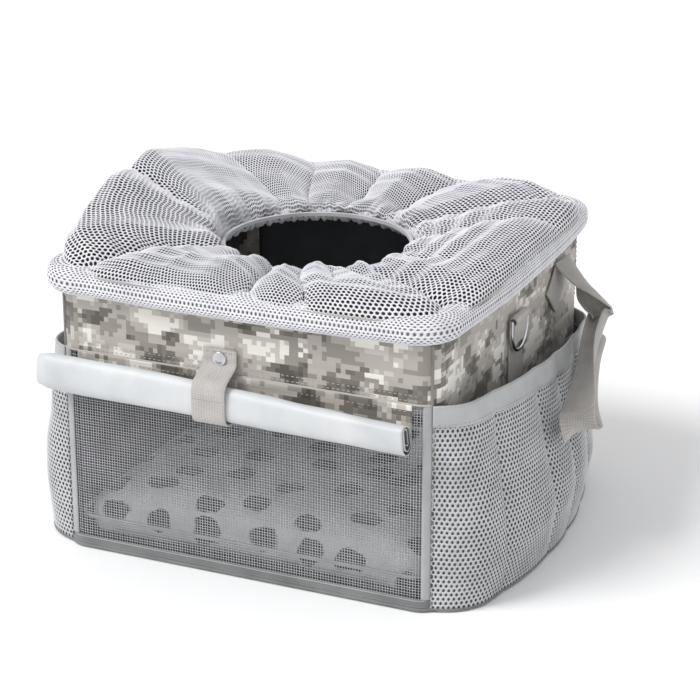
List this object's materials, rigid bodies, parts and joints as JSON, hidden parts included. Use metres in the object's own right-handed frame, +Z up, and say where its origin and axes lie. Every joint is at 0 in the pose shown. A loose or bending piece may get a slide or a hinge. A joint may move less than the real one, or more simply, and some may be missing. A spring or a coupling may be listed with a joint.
{
  "type": "bicycle pet basket",
  "caption": "Soft boxy handlebar basket for a small dog, with net window and rolled flap, mesh side pockets, padded rim and gathered mesh cover.",
  "frame": {"origin": "centre of the flat underside of the base panel", "axes": "+X to the right as the window is looked at, +Y from the window to the handlebar, +Z up"},
  "size_m": [0.5076, 0.4293, 0.3001],
  "materials": {
    "camo_cloth": "printed polyester in digital camouflage",
    "white_mesh": "white air mesh",
    "grey_mesh": "grey air mesh",
    "grey_cloth": "grey woven tape",
    "window_net": "fine square grey net",
    "plush": "light grey plush with dark spots",
    "coated_cloth": "silver white coated cloth",
    "webbing": "grey webbing",
    "steel": "polished steel",
    "wire": "spring steel wire",
    "board": "stiff plastic board",
    "elastic": "knitted elastic"
  },
  "bodies": {
    "basket": {"base_panel": "camo_cloth", "base_board": "board", "left_wall": "camo_cloth", "right_wall": "camo_cloth", "back_wall": "camo_cloth", "left_board": "board", "right_board": "board", "back_board": "board", "front_band": "camo_cloth", "front_band_board": "board", "front_sill": "grey_cloth", "window_binding_left": "grey_cloth", "window_binding_right": "grey_cloth", "window_net": "window_net", "rim_roll": "white_mesh", "rim_wire": "wire", "top_cover": "white_mesh", "cover_hem": "white_mesh", "cover_elastic": "elastic", "pocket_mesh_left": "grey_mesh", "pocket_mesh_right": "grey_mesh", "pocket_hem_left": "grey_cloth", "pocket_hem_right": "grey_cloth", "pocket_floor_left": "grey_cloth", "pocket_floor_right": "grey_cloth", "ring_tab_left": "webbing", "ring_tab_right": "webbing", "strap_anchor_left": "webbing", "strap_anchor_right": "webbing", "snap_stud": "steel", "bar_patch_left": "webbing", "bar_patch_right": "webbing", "bar_strap_left": "webbing", "bar_strap_right": "webbing", "tube_patch": "webbing", "tube_strap": "webbing"},
    "pad": {"floor_pad": "plush"},
    "flap": {"flap_strip": "camo_cloth", "flap_roll": "coated_cloth", "snap_strap": "webbing"},
    "tab": {"snap_tab": "webbing", "snap_cap": "steel"},
    "ring_right": {"side_ring_right": "steel"},
    "ring_left": {"side_ring_left": "steel"},
    "strap_right": {"strap_loop_right": "webbing"},
    "strap_left": {"strap_loop_left": "webbing"}
  },
  "joints": [
    {"name": "pad_lift", "type": "slide", "parent": "basket", "child": "pad", "axis": [0, 0, 1], "range_m": [0, 0.12]},
    {"name": "flap_swing", "type": "hinge", "parent": "basket", "child": "flap", "pos_m": [0, -0.1764, 0.1808], "axis": [-1, 0, 0], "range_deg": [0, 60]},
    {"name": "tab_open", "type": "hinge", "parent": "flap", "child": "tab", "pos_m": [-0.017, -0.2016, 0.16615], "axis": [1, 0, 0], "range_deg": [0, 120]},
    {"name": "ring_right_turn", "type": "hinge", "parent": "basket", "child": "ring_right", "pos_m": [0.1746, 0, 0.199], "axis": [0, -1, 0], "range_deg": [0, 100]},
    {"name": "ring_left_turn", "type": "hinge", "parent": "basket", "child": "ring_left", "pos_m": [-0.1746, 0, 0.199], "axis": [0, 1, 0], "range_deg": [0, 100]},
    {"name": "strap_right_swing", "type": "hinge", "parent": "basket", "child": "strap_right", "pos_m": [0.1736, 0.113, 0.2165], "axis": [0, -1, 0], "range_deg": [0, 40]},
    {"name": "strap_left_swing", "type": "hinge", "parent": "basket", "child": "strap_left", "pos_m": [-0.1736, 0.113, 0.2165], "axis": [0, 1, 0], "range_deg": [0, 40]}
  ],
  "couplings": [
    {"joint": "tab_open", "follows": "flap_swing", "ratio": 2}
  ]
}
